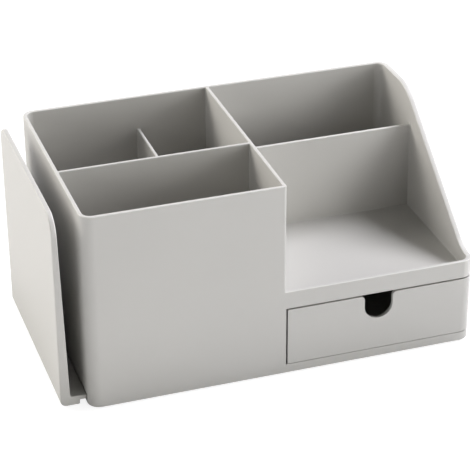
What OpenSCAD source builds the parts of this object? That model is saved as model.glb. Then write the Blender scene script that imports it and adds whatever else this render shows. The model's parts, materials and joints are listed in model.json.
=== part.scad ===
// Makeup organizer: a moulded desktop body with open compartments and a tray, a drawer under the tray, and an
// L-shaped side panel that pulls out to the left and leaves a narrow slot beside the body.
// Millimetres. +X is the right of the front, +Y goes to the back and +Z is up from the table.
// The origin is on the table, under the middle of the whole object with the panel pulled out.

/* [Body shell] */
// Outer width of the body
body_w = 261; // [240:1:320]
// Outer depth of the body, front to back
body_d = 160.5; // [150:0.5:200]
// Height of the shell from its bottom edge to its rim
body_h = 135.5; // [125:0.5:160]
// Thickness of the front, left and back walls and of the divider
wall_t = 2.5; // [2:0.1:3.2]
// Thickness of the right wall, which stands free along its sloping edge
right_t = 3.5; // [2:0.1:4.2]
// Thickness of the partitions and ribs
partition_t = 2.2; // [1.6:0.1:3]
// Thickness of the compartment floors and the tray floor
floor_t = 2; // [1.6:0.1:3]
// Outside radius of the upright corners
corner_r = 8; // [6:0.5:12]

/* [Compartments] */
// Width of the tall left half, out to the divider's right face
tall_w = 130.5; // [122:0.5:145]
// Inside depth of the front compartment
front_cell_d = 62.4; // [45:0.1:80]
// Inside width of the back left compartment
side_cell_w = 76.5; // [50:0.5:95]
// Inside depth of the slot behind the tray
rear_slot_d = 51.8; // [35:0.1:60]
// Drop of the two low partitions below the rim
low_drop = 24; // [10:0.5:40]

/* [Tray] */
// Height of the tray floor above the shell's bottom edge
tray_h = 50; // [44:0.5:60]
// Height of the tray's front lip above the tray floor
lip_h = 10.2; // [6:0.1:16]
// Angle of the side wall's sloping edge
slope_deg = 36.9; // [34:0.1:40]
// Distance from the front to where the slope would meet the lip's level
slope_start = 15.5; // [13:0.5:22]
// Radius of the bend from the lip into the slope
slope_foot_r = 27; // [15:1:32]
// Radius of the bend from the slope into the rim
slope_top_r = 36; // [20:1:45]

/* [Drawer] */
// Gap above and beside the drawer's front
drawer_gap = 1.1; // [0.6:0.1:1.5]
// Gap behind the drawer
drawer_back_gap = 1.5; // [0.5:0.1:4]
// Thickness of the drawer's front
front_t = 2.5; // [2:0.1:3.2]
// Thickness of the drawer's sides, back and floor
drawer_t = 1.8; // [1.4:0.1:2.5]
// Inside radius of the drawer's upright corners
drawer_inner_r = 4; // [1:0.5:8]
// Width of the finger notch
notch_w = 19.4; // [16:0.2:26]
// Depth of the finger notch below the front's top edge
notch_depth = 17.7; // [13:0.1:22]
// Radius of the notch's flared top corners
notch_flare_r = 3; // [1:0.5:5]
// Distance from the front to the stop rib under the tray
stop_y = 26; // [20:1:45]
// Height of the stop rib
stop_h = 2.6; // [2:0.1:4]
// Width of the stop rib
stop_w = 50; // [30:1:70]
// Width of the stop tab on the drawer's back
tab_w = 40; // [20:1:60]

/* [Side panel] */
// Gap between the body and the panel's foot, pulled out as here
panel_gap = 10.4; // [6:0.1:16]
// Height of the panel's top edge above the table
panel_h = 134.6; // [110:0.1:150]
// Length of the panel, front to back
panel_len = 140.2; // [120:0.1:141]
// Set-back of the panel's front edge from the body's front
panel_setback = 8.5; // [8.5:0.5:10]
// Thickness of the panel at its top edge
panel_top_t = 3.5; // [2.5:0.1:5]
// Thickness of the panel at its foot
panel_foot_t = 6.5; // [5.5:0.1:8]
// Radius of the panel's top front corner
panel_front_r = 13; // [5:0.5:25]
// Radius of the panel's top back corner
panel_back_r = 10; // [5:0.5:25]
// Radius of the panel's outer bottom edge
panel_edge_r = 4; // [2:0.5:5]
// Radius of the fillet between the panel and its tongue
panel_fillet_r = 1.5; // [0.8:0.1:2.5]
// Width of the shoe under the panel
shoe_w = 12.6; // [10:0.1:15]
// Height of the shoe above the table
shoe_clear = 0.4; // [0.2:0.1:1]
// Thickness of the tongue
tongue_t = 3.1; // [2.5:0.1:4]
// Length of the tongue from the panel's foot
tongue_len = 105; // [95:1:110]
// Travel of the panel further out than shown here
panel_out = 25; // [10:1:30]
// Distance from the body's left face to the two guide bosses
guide_x = 40; // [35:1:50]
// Distance from each end of the tongue to its guide boss
guide_inset = 35; // [20:1:50]

/* [Underside] */
// Height of the shell's bottom edge above the table
lift = 0.6; // [0.4:0.1:2]
// Recess of the base plate above the shell's bottom edge
base_recess = 0.8; // [0.4:0.1:2]
// Thickness of the base plate
base_t = 1.8; // [1.6:0.1:3]
// Radius of the rubber feet
foot_r = 7; // [5:0.5:10]
// Depth of the feet in the base plate
foot_sink = 0.6; // [0.3:0.1:0.8]
// Distance from the body's outer faces to the centres of the feet
foot_inset = 22; // [18:0.5:28]
// Radius of the screw bosses
boss_r = 3.5; // [3:0.1:4.5]
// Distance from the drawer bay's sides to the front screw bosses
front_boss_inset = 9; // [8:0.5:11]
// Distance from the back slot's ends to the back screw bosses
back_boss_inset = 42; // [36:0.5:50]
// Distance from the drawer bay's sides to the runner ribs
runner_inset = 22; // [17:0.5:32]
// Radius of the screw shanks
screw_r = 1.25; // [1:0.05:1.5]
// Radius of the countersunk screw heads
screw_head_r = 2.4; // [2:0.1:2.8]
// Height of the countersunk screw heads
screw_head_h = 1.1; // [0.9:0.1:1.4]
// Length of the cross recess in the screw heads
cross_l = 2.6; // [2:0.1:2.8]
// Width of the cross recess
cross_w = 0.6; // [0.4:0.05:0.9]
// Depth of the cross recess
cross_h = 0.6; // [0.4:0.05:0.7]
// Length of the screws
screw_len = 4.8; // [4:0.1:5]
// Skin left over the end of each screw
screw_skin = 0.5; // [0.3:0.1:0.6]

/* [Clearances] */
// Sliding clearance of the drawer and the panel's tongue
slide_gap = 0.3; // [0.2:0.05:0.5]
// Clearance of the base plate and the feet in their seats
fit_gap = 0.2; // [0.1:0.05:0.3]
// Radial clearance of the screws
screw_gap = 0.05; // [0.03:0.01:0.1]

/* [Hidden] */
$fn = 64;
// Overshoot of cuts beyond the faces that they open
over = 1;
shell_grey = [0.74, 0.735, 0.72];
base_grey = [0.66, 0.655, 0.64];
rubber_grey = [0.16, 0.16, 0.16];
screw_steel = [0.62, 0.62, 0.64];

// Heights, from the table upwards
base_z = lift + base_recess;
base_top = base_z + base_t;
tongue_z = base_top + slide_gap;
tongue_top = tongue_z + tongue_t;
under_z = tongue_top + slide_gap;
cell_floor_z = under_z + floor_t;
tray_z = lift + tray_h;
tray_under_z = tray_z - floor_t;
lip_z = tray_z + lip_h;
rim_z = lift + body_h;
low_z = rim_z - low_drop;
stop_z = tray_under_z - stop_h;

// Plan of the compartments, from the body's left front corner
inner_x = body_w - right_t;
inner_y = body_d - wall_t;
divider_x = tall_w - wall_t;
front_cell_y = wall_t + front_cell_d;
back_cell_y = front_cell_y + partition_t;
side_cell_x = wall_t + side_cell_w;
middle_cell_x = side_cell_x + partition_t;
rear_slot_y = inner_y - rear_slot_d;
bay_y = rear_slot_y - partition_t;

// Sloping edge of the right wall
slope_end = slope_start + (rim_z - lip_z) / tan(slope_deg);
foot_tangent = slope_foot_r * tan(slope_deg / 2);
top_tangent = slope_top_r * tan(slope_deg / 2);

// Drawer
drawer_x = tall_w + drawer_gap;
drawer_right = inner_x - drawer_gap;
drawer_back = bay_y - drawer_back_gap;
drawer_z = under_z + slide_gap;
front_top = tray_under_z - drawer_gap;
side_top = stop_z - 2 * slide_gap;
tab_top = tray_under_z - 2 * slide_gap;
return_d = corner_r + drawer_gap;
notch_r = notch_w / 2;
notch_z = front_top - notch_depth + notch_r;
bay_mid_x = (tall_w + inner_x) / 2;

// Side panel, with its travel back to the body
panel_y = panel_setback;
panel_back = panel_y + panel_len;
panel_shut = panel_gap - panel_fillet_r - slide_gap;
panel_in_x = -panel_gap;
panel_out_x = panel_in_x - panel_foot_t;
panel_lean = (panel_foot_t - panel_top_t) / (panel_h - tongue_top);
shoe_x = panel_out_x + shoe_w;
tongue_x = panel_in_x + tongue_len;
slot_r = boss_r + slide_gap;
guides = [for (y = [panel_y + guide_inset, panel_back - guide_inset]) [guide_x, y]];

// Screw bosses and feet
front_boss_y = wall_t + boss_r - partition_t / 2;
front_bosses = [for (x = [tall_w + front_boss_inset, inner_x - front_boss_inset]) [x, front_boss_y]];
back_boss_y = (rear_slot_y + inner_y) / 2;
back_bosses = [for (x = [tall_w + back_boss_inset, inner_x - back_boss_inset]) [x, back_boss_y]];
bosses = concat(guides, front_bosses, back_bosses);
runners = [tall_w + runner_inset, inner_x - runner_inset - partition_t];
runner_y = front_boss_y + 2 * boss_r;
foot_names = ["foot_front_left", "foot_front_right", "foot_back_left", "foot_back_right"];
foot_spots = [for (y = [foot_inset, body_d - foot_inset]) for (x = [foot_inset, body_w - foot_inset]) [x, y]];

// Moves the body's left front corner so that the origin is under the middle of the whole object
module place() {
    translate([-(body_w + panel_out_x) / 2, -body_d / 2, 0]) children();
}

// A plan shape raised from one height to another
module slab(from, to) {
    translate([0, 0, from]) linear_extrude(height = to - from) children();
}

// A section in X and Z carried from one distance to another behind the front
module across(from, to) {
    translate([0, to, 0]) rotate([90, 0, 0]) linear_extrude(height = to - from) children();
}

// An outline in Y and Z carried from one X to another
module along(from, to) {
    translate([from, 0, 0]) rotate([90, 0, 90]) linear_extrude(height = to - from) children();
}

// A rectangle between two corners
module area(low, high) {
    translate(low) square(high - low);
}

// A rectangle with its four corners rounded
module round_area(low, high, r) {
    area(low + [r, 0], high - [r, 0]);
    area(low + [0, r], high - [0, r]);
    for (x = [low.x + r, high.x - r]) {
        for (y = [low.y + r, high.y - r]) {
            translate([x, y]) circle(r);
        }
    }
}

// What a round corner takes away from a square one, with the corner at the origin and the shape in +X and +Y
module corner_waste(r) {
    difference() {
        area([-over, -over], [r, r]);
        translate([r, r]) circle(r);
    }
}

// What lies between a corner and the arc that rounds it. The corner may lie deeper, inside what the bend joins.
module bend(corner, start, finish, centre, r) {
    difference() {
        polygon([corner, start, centre, finish]);
        translate(centre) circle(r);
    }
}

// Plan of the body out to its outer faces
module body_plan() {
    round_area([0, 0], [body_w, body_d], corner_r);
}

// Plan of the space inside the outer walls, drawn in from their inner faces
module inner_plan(inset) {
    reach = wall_t + inset;
    round_area([reach, reach], [inner_x - inset, inner_y - inset], corner_r - reach);
}

// Plan of a space inside the outer walls
module cell_plan(low, high) {
    intersection() {
        inner_plan(0);
        area(low, high);
    }
}

// Air above the lip, the sloping edge and the rim, in Y and Z
module slope_air() {
    foot_centre = [slope_start - foot_tangent, lip_z + slope_foot_r];
    top_centre = [slope_end + top_tangent, rim_z - slope_top_r];
    run = [cos(slope_deg), sin(slope_deg)];
    difference() {
        polygon([
            [-over, lip_z], [slope_start, lip_z], [slope_end, rim_z], [slope_end, rim_z + over], [-over, rim_z + over]
        ]);
        bend([slope_start, lip_z], [foot_centre.x, lip_z], [slope_start, lip_z] + foot_tangent * run,
            foot_centre, slope_foot_r);
    }
    bend([slope_end, rim_z + over], [top_centre.x, rim_z], [slope_end, rim_z] - top_tangent * run,
        top_centre, slope_top_r);
}

// Spaces that open upwards: three tall compartments, the slot behind the tray, and the tray
module compartments() {
    top = rim_z + over;
    slab(cell_floor_z, top) cell_plan([wall_t, wall_t], [divider_x, front_cell_y]);
    slab(cell_floor_z, top) cell_plan([wall_t, back_cell_y], [side_cell_x, inner_y]);
    slab(cell_floor_z, top) cell_plan([middle_cell_x, back_cell_y], [divider_x, inner_y]);
    slab(low_z, top) cell_plan([wall_t, back_cell_y], [divider_x, inner_y]);
    slab(cell_floor_z, top) cell_plan([tall_w, rear_slot_y], [inner_x, inner_y]);
    slab(low_z, top) cell_plan([tall_w, bay_y], [inner_x, inner_y]);
    slab(tray_z, top) cell_plan([tall_w, wall_t], [inner_x, bay_y]);
}

// Spaces that open downwards: the drawer bay, the tongue's space, the space under the back slot, the base recess
module underside_spaces() {
    slab(lift, tray_under_z) cell_plan([tall_w, wall_t], [inner_x, bay_y]);
    slab(lift, under_z) cell_plan([wall_t, wall_t], [divider_x, inner_y]);
    slab(lift, under_z) cell_plan([tall_w, rear_slot_y], [inner_x, inner_y]);
    slab(lift - over, base_top) inner_plan(0);
}

// Way in for the panel's tongue and shoe, under the left wall
module tongue_mouth() {
    slab(lift - over, under_z) area([-over, panel_y - slide_gap], [wall_t + over, panel_back + slide_gap]);
}

// Way in for the drawer, round the right front corner
module drawer_mouth() {
    slab(under_z, tray_under_z) area([tall_w, -over], [body_w + over, return_d + drawer_gap]);
}

module screw_bosses() {
    slab(base_top, under_z) {
        for (p = bosses) {
            translate(p) circle(boss_r);
        }
        for (p = front_bosses) {
            area([p.x - partition_t / 2, wall_t / 2], [p.x + partition_t / 2, p.y]);
        }
    }
}

module body_shell() {
    color(shell_grey) place() difference() {
        union() {
            difference() {
                slab(lift, rim_z) body_plan();
                compartments();
                along(tall_w, body_w + over) slope_air();
                underside_spaces();
                tongue_mouth();
                drawer_mouth();
            }
            screw_bosses();
            slab(stop_z, tray_under_z)
                area([bay_mid_x - stop_w / 2, stop_y], [bay_mid_x + stop_w / 2, stop_y + partition_t]);
        }
        for (p = bosses) {
            slab(base_top - over, under_z - screw_skin) translate(p) circle(screw_r + screw_gap);
        }
    }
}

module base_plate() {
    shoe_shut_x = shoe_x + panel_shut + slide_gap;
    color(base_grey) place() difference() {
        union() {
            slab(base_z, base_top) difference() {
                inner_plan(fit_gap);
                area([0, panel_y - slide_gap], [shoe_shut_x, panel_back + slide_gap]);
            }
            slab(base_top, under_z) for (x = runners) {
                area([x, runner_y], [x + partition_t, drawer_back]);
            }
        }
        for (p = foot_spots) {
            slab(base_z - over, base_z + foot_sink) translate(p) circle(foot_r + fit_gap);
        }
        for (p = bosses) {
            slab(base_z - over, base_top + over) translate(p) circle(screw_r + fit_gap);
            translate([p.x, p.y, base_z])
                cylinder(h = screw_head_h, r1 = screw_head_r + screw_gap, r2 = screw_r + screw_gap);
        }
    }
}

// Countersunk screws with a cross recess, one in each boss
module base_screws() {
    color(screw_steel) place() for (p = bosses) {
        translate([p.x, p.y, base_z]) difference() {
            rotate_extrude() polygon([
                [0, 0], [screw_head_r, 0], [screw_r, screw_head_h], [screw_r, screw_len], [0, screw_len]
            ]);
            for (turn = [45, 135]) {
                rotate(turn) translate([-cross_l / 2, -cross_w / 2, -over]) cube([cross_l, cross_w, cross_h + over]);
            }
        }
    }
}

module rubber_foot(p) {
    color(rubber_grey) place() slab(0, base_z + foot_sink) translate(p) circle(foot_r);
}

// Finger notch in X and Z: a U with flared top corners
module notch() {
    flare = notch_r + notch_flare_r;
    translate([bay_mid_x, notch_z]) circle(notch_r);
    area([bay_mid_x - notch_r, notch_z], [bay_mid_x + notch_r, front_top + over]);
    difference() {
        area([bay_mid_x - flare, front_top - notch_flare_r], [bay_mid_x + flare, front_top + over]);
        for (side = [-1, 1]) {
            translate([bay_mid_x + side * flare, front_top - notch_flare_r]) circle(notch_flare_r);
        }
    }
}

module drawer() {
    inner_low = [drawer_x + drawer_t, front_t];
    inner_high = [drawer_right - drawer_t, drawer_back - drawer_t];
    color(shell_grey) place() difference() {
        union() {
            slab(drawer_z, front_top) intersection() {
                body_plan();
                union() {
                    area([drawer_x, 0], [drawer_right, front_t + drawer_inner_r]);
                    area([drawer_right - drawer_t, 0], [body_w, return_d]);
                }
            }
            slab(drawer_z, side_top) area([drawer_x, front_t], [drawer_right, drawer_back]);
            slab(drawer_z, tab_top)
                area([bay_mid_x - tab_w / 2, drawer_back - drawer_t], [bay_mid_x + tab_w / 2, drawer_back]);
        }
        slab(drawer_z + drawer_t, tab_top + over) round_area(inner_low, inner_high, drawer_inner_r);
        across(-over, front_t + over) notch();
    }
}

// Section of the L-shaped panel in X and Z
module panel_section() {
    fillet_x = panel_in_x + panel_fillet_r * (sqrt(1 + panel_lean * panel_lean) - panel_lean);
    fillet_centre = [fillet_x, tongue_top + panel_fillet_r];
    fillet_end = fillet_centre - panel_fillet_r / sqrt(1 + panel_lean * panel_lean) * [1, panel_lean];
    difference() {
        polygon([
            [panel_out_x, shoe_clear], [panel_out_x, panel_h], [panel_out_x + panel_top_t, panel_h],
            fillet_end, fillet_centre, [fillet_x, tongue_top],
            [tongue_x, tongue_top], [tongue_x, tongue_z], [shoe_x, tongue_z], [shoe_x, shoe_clear]
        ]);
        translate(fillet_centre) circle(panel_fillet_r);
        translate([panel_out_x, shoe_clear]) corner_waste(panel_edge_r);
    }
}

// Side view of the panel in Y and Z, with its two top corners rounded
module panel_outline() {
    difference() {
        area([panel_y, 0], [panel_back, panel_h]);
        translate([panel_y, panel_h]) mirror([0, 1]) corner_waste(panel_front_r);
        translate([panel_back, panel_h]) rotate(180) corner_waste(panel_back_r);
    }
}

module side_panel() {
    color(shell_grey) place() difference() {
        intersection() {
            across(panel_y, panel_back) panel_section();
            along(panel_out_x, tongue_x) panel_outline();
        }
        for (p = guides) {
            slab(tongue_z - over, tongue_top + over) {
                area(p - [panel_shut, slot_r], p + [panel_out, slot_r]);
                for (x = [p.x - panel_shut, p.x + panel_out]) {
                    translate([x, p.y]) circle(slot_r);
                }
            }
        }
    }
}

body_shell();
base_plate();
drawer();
side_panel();
base_screws();
for (i = [0 : len(foot_names) - 1]) {
    rubber_foot(foot_spots[i]);
}
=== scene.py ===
# %% [markdown]
# # A desktop makeup organizer
# The object is a light grey organizer for a vanity: tall open compartments at the left, a tray with a
# sloped side above a small drawer at the right, and an L-shaped panel that slides out of the left side to
# make a narrow slot. It is made of a few injection mouldings, so its looks are quiet: soft edges, satin
# skin, tight even gaps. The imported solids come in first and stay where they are. Everything is in metres,
# with +X to the right of the front, +Y to the back and +Z up from the table.

# %% Load the solids
import json
import math

import bmesh
import bpy
import numpy as np
from mathutils import Matrix, Vector

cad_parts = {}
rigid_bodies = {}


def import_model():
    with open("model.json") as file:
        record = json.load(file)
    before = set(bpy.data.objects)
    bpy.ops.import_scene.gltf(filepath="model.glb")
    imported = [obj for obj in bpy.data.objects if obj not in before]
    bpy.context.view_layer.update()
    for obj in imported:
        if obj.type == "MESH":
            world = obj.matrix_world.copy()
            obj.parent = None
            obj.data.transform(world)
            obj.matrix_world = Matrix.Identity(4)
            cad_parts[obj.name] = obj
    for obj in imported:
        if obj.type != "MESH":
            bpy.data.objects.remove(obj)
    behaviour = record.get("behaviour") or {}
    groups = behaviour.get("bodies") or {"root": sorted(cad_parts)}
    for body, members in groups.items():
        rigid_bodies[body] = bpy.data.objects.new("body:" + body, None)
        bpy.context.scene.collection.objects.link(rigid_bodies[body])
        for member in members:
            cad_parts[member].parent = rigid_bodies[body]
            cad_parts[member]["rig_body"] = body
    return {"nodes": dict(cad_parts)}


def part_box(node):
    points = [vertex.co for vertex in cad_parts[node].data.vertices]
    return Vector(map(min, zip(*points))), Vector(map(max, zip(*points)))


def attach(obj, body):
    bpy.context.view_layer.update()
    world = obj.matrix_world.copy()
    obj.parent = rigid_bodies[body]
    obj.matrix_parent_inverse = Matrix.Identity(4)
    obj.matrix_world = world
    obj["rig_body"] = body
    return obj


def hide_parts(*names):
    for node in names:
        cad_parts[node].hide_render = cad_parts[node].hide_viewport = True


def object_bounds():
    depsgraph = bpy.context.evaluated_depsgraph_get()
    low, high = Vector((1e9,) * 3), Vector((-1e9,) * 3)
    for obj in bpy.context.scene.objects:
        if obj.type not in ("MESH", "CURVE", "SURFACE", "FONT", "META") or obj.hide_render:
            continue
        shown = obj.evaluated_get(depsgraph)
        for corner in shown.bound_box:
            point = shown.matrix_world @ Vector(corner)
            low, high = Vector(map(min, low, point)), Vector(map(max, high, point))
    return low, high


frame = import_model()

MM = 0.001
nodes = frame["nodes"]
cad_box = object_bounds()
print("solids:", sorted(nodes))
print("box of the solids in mm:", [[round(x / MM, 1) for x in corner] for corner in cad_box])

# %% [markdown]
# ## Camera
# A product shot like this is taken from about a metre away through a long lens, so that upright edges stay
# nearly parallel. The camera stands in front of the left corner and looks down at the rims. Its axes are
# built from three angles: where it is heading, how far it looks down, and a slight roll. A matrix made of
# those axes can't flip over, which a tracking constraint sometimes does.

# %% Camera
CAMERA_PLACE = Vector((-0.3429, -1.0390, 0.6591))
CAMERA_LENS = 143.35
HEADING = math.radians(18.31)
LOOK_DOWN = math.radians(28.61)
ROLL = math.radians(0.39)

ahead = Vector((
    math.sin(HEADING) * math.cos(LOOK_DOWN),
    math.cos(HEADING) * math.cos(LOOK_DOWN),
    -math.sin(LOOK_DOWN),
))
level_right = Vector((math.cos(HEADING), -math.sin(HEADING), 0))
level_up = level_right.cross(ahead)
right = level_right * math.cos(ROLL) - level_up * math.sin(ROLL)
up = level_up * math.cos(ROLL) + level_right * math.sin(ROLL)

camera = bpy.data.objects.new("camera", bpy.data.cameras.new("camera"))
bpy.context.scene.collection.objects.link(camera)
camera.data.lens = CAMERA_LENS
turned_to_view = Matrix((right, up, -ahead)).transposed().to_4x4()
camera.matrix_world = Matrix.Translation(CAMERA_PLACE) @ turned_to_view
bpy.context.scene.camera = camera
middle = (cad_box[0] + cad_box[1]) / 2
print("camera to the middle of the object:", round((CAMERA_PLACE - middle).length, 3), "m")

# %% [markdown]
# ## Writing shaders as sums
# A finish is easier to read as a sum than as a web of nodes. `Flow` wraps one output of a node. Adding,
# subtracting or multiplying flows adds Math nodes to the tree, and `add` makes any other node: its settings
# are set first, and then its sockets get a number, a colour or another flow.


# %% Flow
class Flow:
    """One output socket of a node tree. Sums of flows and numbers become Math nodes."""

    def __init__(self, tree, socket=None):
        self.tree = tree
        self.socket = socket

    def add(self, kind, sockets=None, settings=None, out=0):
        """A new node of that kind. Settings go in first, then values or flows by socket name or number."""
        made = self.tree.nodes.new(kind)
        for name, value in (settings or {}).items():
            setattr(made, name, value)
        for name, value in (sockets or {}).items():
            if isinstance(value, Flow):
                self.tree.links.new(value.socket, made.inputs[name])
            else:
                made.inputs[name].default_value = value
        return Flow(self.tree, made.outputs[out] if made.outputs else None)

    def maths(self, operation, *terms):
        return self.add("ShaderNodeMath", dict(enumerate(terms)), {"operation": operation})

    def __add__(self, other):
        return self.maths("ADD", self, other)

    __radd__ = __add__

    def __sub__(self, other):
        return self.maths("SUBTRACT", self, other)

    def __rsub__(self, other):
        return self.maths("SUBTRACT", other, self)

    def __mul__(self, other):
        return self.maths("MULTIPLY", self, other)

    def between(self, low, high):
        """This flow, held between two numbers."""
        return self.maths("MINIMUM", self.maths("MAXIMUM", self, low), high)

    def mixed(self, first, second):
        """The first colour where this flow is 0 and the second where it is 1."""
        return self.add("ShaderNodeMix", {0: self, 6: first, 7: second}, {"data_type": "RGBA"}, out=2)


# %% [markdown]
# ## Starting a finish
# Every finish below starts in the same way: an empty material, object coordinates, and noise whose patches
# have a real size. Object coordinates are in metres, so one over the size is the noise's scale. Tints are
# shares of one colour, so that changing that colour changes the whole finish.


# %% Starting a finish
def new_material(name):
    """An empty material, with the flow that its nodes start from."""
    material = bpy.data.materials.new(name)
    material.use_nodes = True
    material.node_tree.nodes.clear()
    return material, Flow(material.node_tree)


def noise(place, size, detail):
    """Soft random patches from 0 to 1, about that size in metres."""
    return place.add("ShaderNodeTexNoise", {"Vector": place, "Scale": 1 / size, "Detail": detail})


def swing(pattern):
    """A noise that adds as much as it takes away: from -0.5 to 0.5."""
    return pattern - 0.5


def shade(colour, share):
    """A colour made lighter or darker by a share, with its alpha."""
    return (*(c * share for c in colour), 1.0)


# %% [markdown]
# ## Moulded plastic
# The skin of such a moulding is satin: the steel mould was lightly blasted, which leaves a grain of about
# half a millimetre, and the plastic cooled unevenly, which leaves faint clouds in the gloss. The outer
# edges are a little glossier, and their colour is lightened as a painted highlight. The inner corners and
# the walls low down near the table are darkened as painted shade, and made a little rougher. A flat grey
# would miss all of that, so the colour, the roughness and a bump are worked out from noise, from the
# height, and from two attributes that a piece can carry. The one called edge is positive on outer edges,
# negative in inner corners and zero on flats. The one called gap is 1 on faces at the side of a narrow gap,
# which are painted nearly black as shade.

# %% Moulded plastic
GRAIN_SIZE = 0.55 * MM
GRAIN_DETAIL = 2.0
GRAIN_DEPTH = 0.012 * MM
GRAIN_BUMP = 0.35
GRAIN_ROUGHNESS = 0.06
CLOUD_SIZE = 45 * MM
CLOUD_DETAIL = 3.0
CLOUD_TINT = 0.025
CLOUD_ROUGHNESS = 0.1
# Outer edges get a lighter colour: a painted highlight. Their lower roughness is real gloss.
HIGHLIGHT_SHARE = 0.7
HIGHLIGHT_TINT = 1.25
POLISHED_ROUGHNESS = -0.06
# Inner corners and the lowest walls get a darker colour: painted shade.
SHADE_HEIGHT = 60 * MM
CORNER_SHADE = 0.5
PAINTED_SHADE_TINT = 0.88
SHADED_ROUGHNESS = 0.05
# Faces beside the narrow drawer gap are darkened nearly to black: painted shade.
GAP_SHADE_TINT = 0.08
SHELL_GREY = (0.51, 0.501, 0.473)
SHELL_ROUGHNESS = 0.48
BASE_GREY = (0.395, 0.389, 0.37)
BASE_ROUGHNESS = 0.55


def moulded_plastic(name, colour, roughness):
    """Satin plastic: clouds in colour and gloss, a blasted grain, outer edges glossier and lightened as a
    painted highlight, inner corners darkened as painted shade. The painted shade lies in inner corners by
    CORNER_SHADE, and low down by the square of a ramp from 0 at SHADE_HEIGHT to 1 on the table, and is a
    little rougher."""
    material, flow = new_material(name)
    place = flow.add("ShaderNodeTexCoord", out="Object")
    clouds = noise(place, CLOUD_SIZE, CLOUD_DETAIL)
    grain = noise(place, GRAIN_SIZE, GRAIN_DETAIL)
    edge = flow.add("ShaderNodeAttribute", settings={"attribute_name": "edge"}, out="Fac")
    gap = flow.add("ShaderNodeAttribute", settings={"attribute_name": "gap"}, out="Fac")
    height = flow.add("ShaderNodeSeparateXYZ", {"Vector": place}, out="Z")
    low_down = (1 - height * (1 / SHADE_HEIGHT)).between(0.0, 1.0)
    polish_and_highlight = edge.between(0.0, 1.0)
    inner = (0 - edge).between(0.0, 1.0)
    painted_shade = (inner * CORNER_SHADE + low_down * low_down).between(0.0, 1.0)
    skin = clouds.mixed(shade(colour, 1 - CLOUD_TINT), shade(colour, 1 + CLOUD_TINT))
    # Outer edges are lightened: a painted highlight.
    skin = (polish_and_highlight * HIGHLIGHT_SHARE).mixed(skin, shade(colour, HIGHLIGHT_TINT))
    # Inner corners and the lowest walls are darkened: painted shade.
    skin = painted_shade.mixed(skin, shade(colour, PAINTED_SHADE_TINT))
    # Faces beside the narrow gap are darkened nearly to black: painted shade.
    skin = gap.mixed(skin, shade(colour, GAP_SHADE_TINT))
    rough = roughness + swing(clouds) * CLOUD_ROUGHNESS + swing(grain) * GRAIN_ROUGHNESS
    rough = rough + polish_and_highlight * POLISHED_ROUGHNESS + painted_shade * SHADED_ROUGHNESS
    bump = flow.add("ShaderNodeBump", {"Height": grain, "Strength": GRAIN_BUMP, "Distance": GRAIN_DEPTH})
    sockets = {"Base Color": skin, "Roughness": rough, "Normal": bump}
    surface = flow.add("ShaderNodeBsdfPrincipled", sockets)
    flow.add("ShaderNodeOutputMaterial", {"Surface": surface})
    return material


shell_plastic = moulded_plastic("shell_plastic_satin", SHELL_GREY, SHELL_ROUGHNESS)
base_plastic = moulded_plastic("base_plastic_matt", BASE_GREY, BASE_ROUGHNESS)
print("plastics:", shell_plastic.name, base_plastic.name)

# %% [markdown]
# ## Sewing a solid
# A moulding has no sharp edge: the mould is rounded so that the plastic fills it and lets go. The solids
# have sharp edges, so each moulding is a copy of its solid, sewn together and bevelled. Drawing every wall
# again as a surface would also work, but wherever a partition meets a wall the surfaces would have to be
# trimmed, and the bevel solves those corners by itself. Corners that share a place become one, and flat
# neighbours are joined, so that the bevel has long clean faces to run along.

# %% Sewing a solid
SEW_GAP = 0.02 * MM
FLAT_TURN = math.radians(0.2)


def sewn_mesh(node):
    """A copy of a node's mesh in which corners that share a place are one, and flat neighbours are joined."""
    mesh = bpy.data.meshes.new(node + "_sewn")
    joined = bmesh.new()
    joined.from_mesh(nodes[node].data)
    bmesh.ops.remove_doubles(joined, verts=joined.verts, dist=SEW_GAP)
    bmesh.ops.dissolve_limit(joined, angle_limit=FLAT_TURN, verts=joined.verts, edges=joined.edges)
    joined.to_mesh(mesh)
    joined.free()
    return mesh


# %% [markdown]
# ## Finding the edges for painted highlight and painted shade
# The plastic above asks for an attribute called edge. It is the curvature of the bevelled mesh, worked out
# for all vertices at once. A vertex passes its value on to every face that it belongs to, so a wide flat
# face would be streaked by the values of its corners. The corners of wide faces therefore get 0, and only
# the narrow strips of the bevels are marked. A strip's width is twice its area over its outline.

# %% The edge attribute
WIDE_FACE = 1.6
SMALLEST_SQUARE = 1e-14


def listed(parts, name, width, kind):
    """One property of all vertices, edges, loops or faces of a mesh, as an array."""
    values = np.empty(len(parts) * width, kind)
    parts.foreach_get(name, values)
    return values.reshape(-1, width)


def corner_faces(mesh):
    """The number of the face that each loop of a mesh belongs to."""
    counts = listed(mesh.polygons, "loop_total", 1, np.int32).ravel()
    return np.repeat(np.arange(len(counts)), counts)


def face_widths(mesh, lengths):
    """How wide each face is: twice its area over the length of its outline."""
    outline = np.bincount(corner_faces(mesh), lengths[listed(mesh.loops, "edge_index", 1, np.int32).ravel()])
    return 2 * listed(mesh.polygons, "area", 1, np.float32).ravel() / outline


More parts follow.
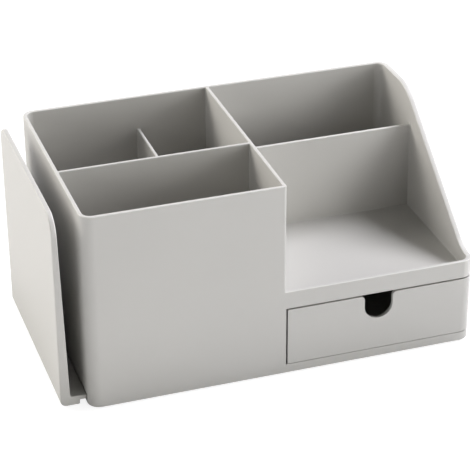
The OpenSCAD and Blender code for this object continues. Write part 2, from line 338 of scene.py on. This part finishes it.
def edge_mark(mesh, radius):
    """Marks each vertex with its curvature times radius: near 1 on an outer bevel, -1 in an inner one.
    The curvature is how far the neighbours lie below the vertex's plane, over half their squared distance.
    Corners of faces wider than WIDE_FACE radii get 0."""
    places = listed(mesh.vertices, "co", 3, np.float32)
    normals = listed(mesh.vertices, "normal", 3, np.float32)
    ends = listed(mesh.edges, "vertices", 2, np.int32)
    start, finish = np.concatenate([ends, ends[:, ::-1]]).T
    step = places[finish] - places[start]
    bend = -2 * (step * normals[start]).sum(1) / np.maximum((step ** 2).sum(1), SMALLEST_SQUARE)
    mark = np.zeros(len(places), np.float32)
    strongest = np.argsort(np.abs(bend))
    mark[start[strongest]] = bend[strongest]
    mark = np.clip(mark * radius, -1, 1)
    lengths = np.linalg.norm(places[ends[:, 0]] - places[ends[:, 1]], axis=1)
    wide = face_widths(mesh, lengths) > WIDE_FACE * radius
    corners = listed(mesh.loops, "vertex_index", 1, np.int32).ravel()
    mark[corners[wide[corner_faces(mesh)]]] = 0
    mesh.attributes.new("edge", "FLOAT", "POINT").data.foreach_set("value", mark.astype(np.float32))


# %% [markdown]
# ## Soft edges
# Each edge where two faces turn sharply gets a bevel of three steps, by its weight. Not all edges are
# alike, so a piece may have exceptions: a box, and the radius of the edges that lie in it. The finished mesh
# is kept with flat faces flat: the weighted normals follow the large faces, and the shading turns only
# across the bevels.

# %% Bevel
SHARP_TURN = math.radians(25)
BEVEL_STEPS = 3


def edge_radii(mesh, radius, exceptions):
    """How round each edge gets: not at all where its two faces turn by less than SHARP_TURN, and else by the
    radius, or by the radius of the exception whose box holds the whole edge."""
    order = np.argsort(listed(mesh.loops, "edge_index", 1, np.int32).ravel())
    sides = corner_faces(mesh)[order].reshape(-1, 2)
    first, second = listed(mesh.polygons, "normal", 3, np.float32)[sides.T]
    ends = listed(mesh.vertices, "co", 3, np.float32)[listed(mesh.edges, "vertices", 2, np.int32)]
    radii = np.full(len(ends), radius)
    for low, high, own_radius in exceptions:
        inside = (ends > np.array(low)) & (ends < np.array(high))
        radii[inside.all(axis=(1, 2))] = own_radius
    return np.where((first * second).sum(1) < math.cos(SHARP_TURN), radii, 0.0)


def dress(piece, node, material):
    """Gives a finished piece its material. It stands for the node, and rides where the node rides."""
    piece.data.materials.clear()
    piece.data.materials.append(material)
    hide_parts(node)
    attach(piece, nodes[node]["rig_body"])
    print(piece.name, "has", len(piece.data.vertices), "vertices")
    return piece


def moulding(node, radius, material, exceptions=()):
    """A bevelled copy of a node with the edge mark. The bevel's weights are shares of the largest radius."""
    sewn = sewn_mesh(node)
    radii = edge_radii(sewn, radius, exceptions)
    weights = sewn.attributes.new("bevel_weight_edge", "FLOAT", "EDGE")
    weights.data.foreach_set("value", radii / radii.max())
    piece = bpy.data.objects.new(node + "_moulding", sewn)
    bpy.context.scene.collection.objects.link(piece)
    bevel = piece.modifiers.new("soft_edges", "BEVEL")
    bevel.limit_method = "WEIGHT"
    bevel.width = radii.max()
    bevel.segments = BEVEL_STEPS
    bevel.use_clamp_overlap = False
    bevel.loop_slide = False
    bevelled = piece.evaluated_get(bpy.context.evaluated_depsgraph_get())
    finished = bpy.data.meshes.new_from_object(bevelled)
    piece.modifiers.clear()
    piece.data = finished
    edge_mark(finished, radius)
    finished.shade_smooth()
    piece.modifiers.new("flat_faces_stay_flat", "WEIGHTED_NORMAL").keep_sharp = False
    return dress(piece, node, material)


# %% [markdown]
# ## Where the shell differs
# The shell has two exceptions. The front edge of the divider, beside the tray, is rounder than the rest, and
# the mouth of the drawer is nearly sharp, so that its gap shows as a thin line. The left wall of the
# drawer's bay stands beside that narrow gap, so it gets the gap mark, which darkens it as painted shade.
# Each place is a box, from its lowest to its highest corner, and comes from the boxes of the shell and the
# drawer, so it follows them.

# %% Where the shell differs
DIVIDER_EDGE = 2.0 * MM
MOUTH_EDGE = 0.12 * MM
DRAWER_GAP = 1.1 * MM
NEAR = 0.05 * MM
MOUTH_DEPTH = 10.3 * MM
MOUTH_MARGIN = 1.2 * MM
BAY_WALL_IN = 0.2 * MM
BAY_WALL_OUT = 0.25 * MM
BAY_WALL_TOP = 0.5 * MM

shell_low, shell_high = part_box("body_shell")
drawer_low, drawer_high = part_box("drawer")
bay_left = drawer_low.x - DRAWER_GAP
front = shell_low.y

divider_front_edge = (
    (bay_left - NEAR, front - NEAR, drawer_high.z),
    (bay_left + NEAR, front + NEAR, shell_high.z + NEAR),
    DIVIDER_EDGE,
)
drawer_mouth = (
    (bay_left - NEAR, front - NEAR, drawer_low.z - MOUTH_MARGIN),
    (shell_high.x + NEAR, front + MOUTH_DEPTH, drawer_high.z + MOUTH_MARGIN),
    MOUTH_EDGE,
)
bay_left_wall = (
    (bay_left - BAY_WALL_IN, front - NEAR, shell_low.z + MOUTH_MARGIN),
    (bay_left + BAY_WALL_OUT, drawer_high.y, drawer_high.z + BAY_WALL_TOP),
)
print("left wall of the drawer's bay at x in mm:", round(bay_left / MM, 2))

# %% [markdown]
# ## The four mouldings
# The shell, the drawer, the panel and the base plate are made in the same way. Apart from the exceptions,
# the drawer has the finest edges, and the panel, which is handled most, the roundest.

# %% The four mouldings
SHELL_EDGE = 0.7 * MM
DRAWER_EDGE = 0.2 * MM
PANEL_EDGE = 0.9 * MM
PLATE_EDGE = 0.3 * MM
LOOKS_TO_FRONT = -0.5


def gap_shade_mark(mesh, box):
    """Marks the faces that have their middle in a box and don't look to the front; the plastic darkens them
    as painted shade.
    """
    low, high = np.array(box)
    middles = listed(mesh.polygons, "center", 3, np.float32)
    inside = ((middles > low) & (middles < high)).all(axis=1)
    normals = listed(mesh.polygons, "normal", 3, np.float32)
    hidden = inside & (normals[:, 1] > LOOKS_TO_FRONT)
    mesh.attributes.new("gap", "FLOAT", "FACE").data.foreach_set("value", hidden.astype(np.float32))
    print("faces in the gap beside the drawer:", hidden.sum())


body_shell = moulding("body_shell", SHELL_EDGE, shell_plastic, [divider_front_edge, drawer_mouth])
moulding("drawer", DRAWER_EDGE, shell_plastic)
gap_shade_mark(body_shell.data, bay_left_wall)
moulding("side_panel", PANEL_EDGE, shell_plastic)
moulding("base_plate", PLATE_EDGE, base_plastic)

# %% [markdown]
# ## Base screws
# Six small countersunk screws hold the base plate. They are bright plain steel, drawn and headed cold, so
# they have no coat: the colour and the gloss break up in patches smaller than a screw head. They are the
# same kind of copy as the mouldings, with a far smaller bevel.

# %% Base screws
STEEL_PATCH = 0.9 * MM
STEEL_DETAIL = 4.0
STEEL_TINTS = (0.85, 1.1)
STEEL_PATCH_ROUGHNESS = 0.3
STEEL_GREY = (0.56, 0.56, 0.58)
STEEL_ROUGHNESS = 0.36
SCREW_EDGE = 0.05 * MM


def plain_steel(name, colour, roughness):
    """Bare steel: a metal whose gloss and colour vary in the same patches."""
    material, flow = new_material(name)
    place = flow.add("ShaderNodeTexCoord", out="Object")
    patches = noise(place, STEEL_PATCH, STEEL_DETAIL)
    skin = patches.mixed(*(shade(colour, tint) for tint in STEEL_TINTS))
    rough = roughness + swing(patches) * STEEL_PATCH_ROUGHNESS
    sockets = {"Base Color": skin, "Metallic": 1.0, "Roughness": rough}
    surface = flow.add("ShaderNodeBsdfPrincipled", sockets)
    flow.add("ShaderNodeOutputMaterial", {"Surface": surface})
    return material


screw_steel = plain_steel("screw_steel_plain", STEEL_GREY, STEEL_ROUGHNESS)
moulding("base_screws", SCREW_EDGE, screw_steel)

# %% [markdown]
# ## Rubber
# The feet are dark matt rubber. A plain dark grey would look like a hole in the base, so dust lightens the
# colour in patches and dulls it, and a fine mottle makes a bump.

# %% Rubber
RUBBER_DUST_SIZE = 4 * MM
RUBBER_DUST_DETAIL = 4.0
RUBBER_TINTS = (0.8, 1.5)
RUBBER_ROUGHNESS = 0.7
RUBBER_DUST_ROUGHNESS = 0.25
MOTTLE_SIZE = 0.4 * MM
MOTTLE_DETAIL = 2.0
MOTTLE_DEPTH = 0.03 * MM
MOTTLE_BUMP = 0.4
RUBBER_BLACK = (0.03, 0.03, 0.03)


def rubber(name, colour):
    """Matt rubber: dark, with a fine mottle and lighter patches of dust."""
    material, flow = new_material(name)
    place = flow.add("ShaderNodeTexCoord", out="Object")
    dust = noise(place, RUBBER_DUST_SIZE, RUBBER_DUST_DETAIL)
    mottle = noise(place, MOTTLE_SIZE, MOTTLE_DETAIL)
    skin = dust.mixed(*(shade(colour, tint) for tint in RUBBER_TINTS))
    bump = flow.add("ShaderNodeBump", {"Height": mottle, "Strength": MOTTLE_BUMP, "Distance": MOTTLE_DEPTH})
    rough = RUBBER_ROUGHNESS + dust * RUBBER_DUST_ROUGHNESS
    surface = flow.add("ShaderNodeBsdfPrincipled", {"Base Color": skin, "Roughness": rough, "Normal": bump})
    flow.add("ShaderNodeOutputMaterial", {"Surface": surface})
    return material


foot_rubber = rubber("foot_rubber_matt", RUBBER_BLACK)
print("rubber:", foot_rubber.name)

# %% [markdown]
# ## Feet
# Four rubber discs let into the base plate carry the organizer. A pressed foot has a round lower edge, and a
# shallow dish so that it grips with its rim. That is a profile turned about an upright axis: one array of
# radii and heights, and one of angles, give all the places at once.

# %% Feet
FOOT_EDGE = 0.8 * MM
FOOT_DISH = 0.25 * MM
FOOT_CHAMFER = 0.1 * MM
SOLE_RINGS = 12
EDGE_RINGS = 7
TURN_STEPS = 64
SOLE_HOLE = 0.05
TOP_RINGS = (1.0, 0.96, 0.02)


def turned(name, radii, heights, centre):
    """A closed profile turned about an upright axis: place(t, k) = centre + (r_k cos t, r_k sin t, h_k).
    The profile starts and ends near the axis, and a level face closes each end."""
    t = np.linspace(0, 2 * np.pi, TURN_STEPS, endpoint=False)[:, None]
    x = centre[0] + radii * np.cos(t)
    y = centre[1] + radii * np.sin(t)
    places = np.stack([x, y, heights + 0 * t], -1)
    number = np.arange(places.shape[0] * places.shape[1]).reshape(places.shape[:2])
    after = np.roll(number, -1, axis=0)
    sides = np.stack([number[:, :-1], after[:, :-1], after[:, 1:], number[:, 1:]], -1).reshape(-1, 4)
    ends = [number[::-1, 0].tolist(), number[:, -1].tolist()]
    mesh = bpy.data.meshes.new(name)
    mesh.from_pydata(places.reshape(-1, 3), [], sides.tolist() + ends)
    mesh.shade_smooth()
    piece = bpy.data.objects.new(name, mesh)
    bpy.context.scene.collection.objects.link(piece)
    return piece


def foot(node, material):
    """A dished disc with a round lower edge, in the place and size of its solid. The sole rises as the square
    of a cosine from its rim to FOOT_DISH in the middle, and the edge is a quarter of a circle."""
    low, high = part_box(node)
    radius = (high.x - low.x) / 2
    sole = np.linspace(SOLE_HOLE, 1, SOLE_RINGS) * (radius - FOOT_EDGE)
    arc = np.linspace(0, np.pi / 2, EDGE_RINGS)[1:]
    edge = radius - FOOT_EDGE + FOOT_EDGE * np.sin(arc)
    radii = np.concatenate([sole, edge, radius * np.array(TOP_RINGS)])
    under = FOOT_DISH * np.cos(np.pi / 2 * sole / sole[-1]) ** 2
    top = [high.z - FOOT_CHAMFER, high.z, high.z]
    heights = np.concatenate([under, FOOT_EDGE - FOOT_EDGE * np.cos(arc), top])
    piece = turned(node + "_rubber", radii, heights, (low + high) / 2)
    piece.modifiers.new("level_faces_stay_level", "WEIGHTED_NORMAL").keep_sharp = False
    dress(piece, node, material)


for node in sorted(nodes):
    if node.startswith("foot_"):
        foot(node, foot_rubber)

# %% [markdown]
# ## Floor
# The floor is a plain pale sheet. Seen by the camera, or mirrored in the plastic, it is white with a faint
# shadow, and to the light that bounces off it, it is an ordinary white table.

# %% Floor
FLOOR_REACH = 4.0
FLOOR_STEPS = 9
TABLE_WHITE = (0.8, 0.8, 0.8, 1)
SHADOW_GREY = (0.3, 0.3, 0.3, 1)
FULL_WHITE = (1, 1, 1, 1)
FLOOR_GLOW = 0.85


def grid_sheet(name, reach, steps):
    """A level square sheet: place(u, v) = (u, v, 0) times reach, on a grid of u and v from -1 to 1."""
    u, v = np.meshgrid(np.linspace(-1, 1, steps), np.linspace(-1, 1, steps), indexing="ij")
    places = np.stack([u * reach, v * reach, np.zeros_like(u)], -1).reshape(-1, 3)
    number = np.arange(steps * steps).reshape(steps, steps)
    faces = np.stack([number[:-1, :-1], number[1:, :-1], number[1:, 1:], number[:-1, 1:]], -1)
    mesh = bpy.data.meshes.new(name)
    mesh.from_pydata(places, [], faces.reshape(-1, 4))
    sheet = bpy.data.objects.new(name, mesh)
    bpy.context.scene.collection.objects.link(sheet)
    return sheet


def seen_directly(flow):
    """1 for rays that show a surface: straight from the camera, or by way of gloss or glass."""
    path = flow.tree.nodes.new("ShaderNodeLightPath")
    kinds = ("Is Camera Ray", "Is Glossy Ray", "Is Transmission Ray")
    ways = [Flow(flow.tree, path.outputs[kind]) for kind in kinds]
    return (ways[0] + ways[1] + ways[2]).between(0.0, 1.0)


floor = grid_sheet("floor", FLOOR_REACH, FLOOR_STEPS)
floor_finish, flow = new_material("floor_white")
table = flow.add("ShaderNodeBsdfDiffuse", {"Color": TABLE_WHITE})
shaded = flow.add("ShaderNodeBsdfDiffuse", {"Color": SHADOW_GREY})
glow = flow.add("ShaderNodeEmission", {"Color": FULL_WHITE, "Strength": FLOOR_GLOW})
pale = flow.add("ShaderNodeAddShader", {0: shaded, 1: glow})
floor_surface = flow.add("ShaderNodeMixShader", {0: seen_directly(flow), 1: table, 2: pale})
flow.add("ShaderNodeOutputMaterial", {"Surface": floor_surface})
floor.data.materials.append(floor_finish)
print("floor:", 2 * FLOOR_REACH, "m square")

# %% [markdown]
# ## World
# Around the object there is a white studio wall. The camera sees it white, and so does the gloss of the
# plastic: the side panel, which is seen almost edge-on, gets much of its brightness that way. As a source
# of light the wall is very dim. Nearly all the light comes from the lamps, so that the compartments can get
# dark.

# %% World
WALL_WHITE = 1.0
WORLD_LIGHT = 0.02
world = bpy.data.worlds.new("studio")
bpy.context.scene.world = world
world.use_nodes = True
world.node_tree.nodes.clear()
flow = Flow(world.node_tree)
white = flow.add("ShaderNodeBackground", {"Color": FULL_WHITE, "Strength": WALL_WHITE})
ambient = flow.add("ShaderNodeBackground", {"Color": FULL_WHITE, "Strength": WORLD_LIGHT})
sky = flow.add("ShaderNodeMixShader", {0: seen_directly(flow), 1: ambient, 2: white})
flow.add("ShaderNodeOutputWorld", {"Surface": sky})
print("world light:", WORLD_LIGHT)

# %% [markdown]
# ## Lamps
# The shadows tell where the lamps stood. The tray is bright at its left front and dark in its right back
# corner, so the strongest lamp is high up behind the right wall. The outer face of the panel is the
# brightest of all, and the left faces inside the compartments are lighter than the others, so two more
# stand behind the left corner. Three low ones fill the front. All are soft boxes of one size at the same
# distance, so each needs only its direction, its power and a tint: the high one is a little cool, and the
# two behind the left corner are a little warm. The distance is more than ten times the object's width: from
# nearer by, the end next to a lamp would get visibly more light than the other.

# %% Lamps
LAMP_DISTANCE = 3.0
LAMP_SIZE = 1.5
AIM = Vector((0, 0, 0.06))
PLAIN = (1, 1, 1)
COOL = (0.98, 0.98, 1.05)
WARM = (1.03, 1.0, 0.96)


def softbox(name, azimuth, elevation, watts, tint):
    """A square area lamp that faces the object. Azimuth 0 is in front and 90 at the right, in degrees."""
    around, above = math.radians(azimuth), math.radians(elevation)
    level = math.cos(above)
    towards = Vector((math.sin(around) * level, -math.cos(around) * level, math.sin(above)))
    lamp = bpy.data.objects.new(name, bpy.data.lights.new(name, "AREA"))
    bpy.context.scene.collection.objects.link(lamp)
    lamp.data.size = LAMP_SIZE
    lamp.data.energy = watts
    lamp.data.color = tint
    lamp.location = AIM + LAMP_DISTANCE * towards
    lamp.rotation_euler = towards.to_track_quat("Z", "Y").to_euler()


softbox("right_high_box", 102, 50, 116, COOL)
softbox("right_low_box", 45, 8, 46, PLAIN)
softbox("front_low_box", 20, 10, 13, PLAIN)
softbox("left_low_box", -70, 8, 22, PLAIN)
softbox("left_side_box", -120, 20, 40, WARM)
softbox("left_back_box", -132, 33, 36, WARM)
bpy.context.scene.view_settings.view_transform = "Standard"
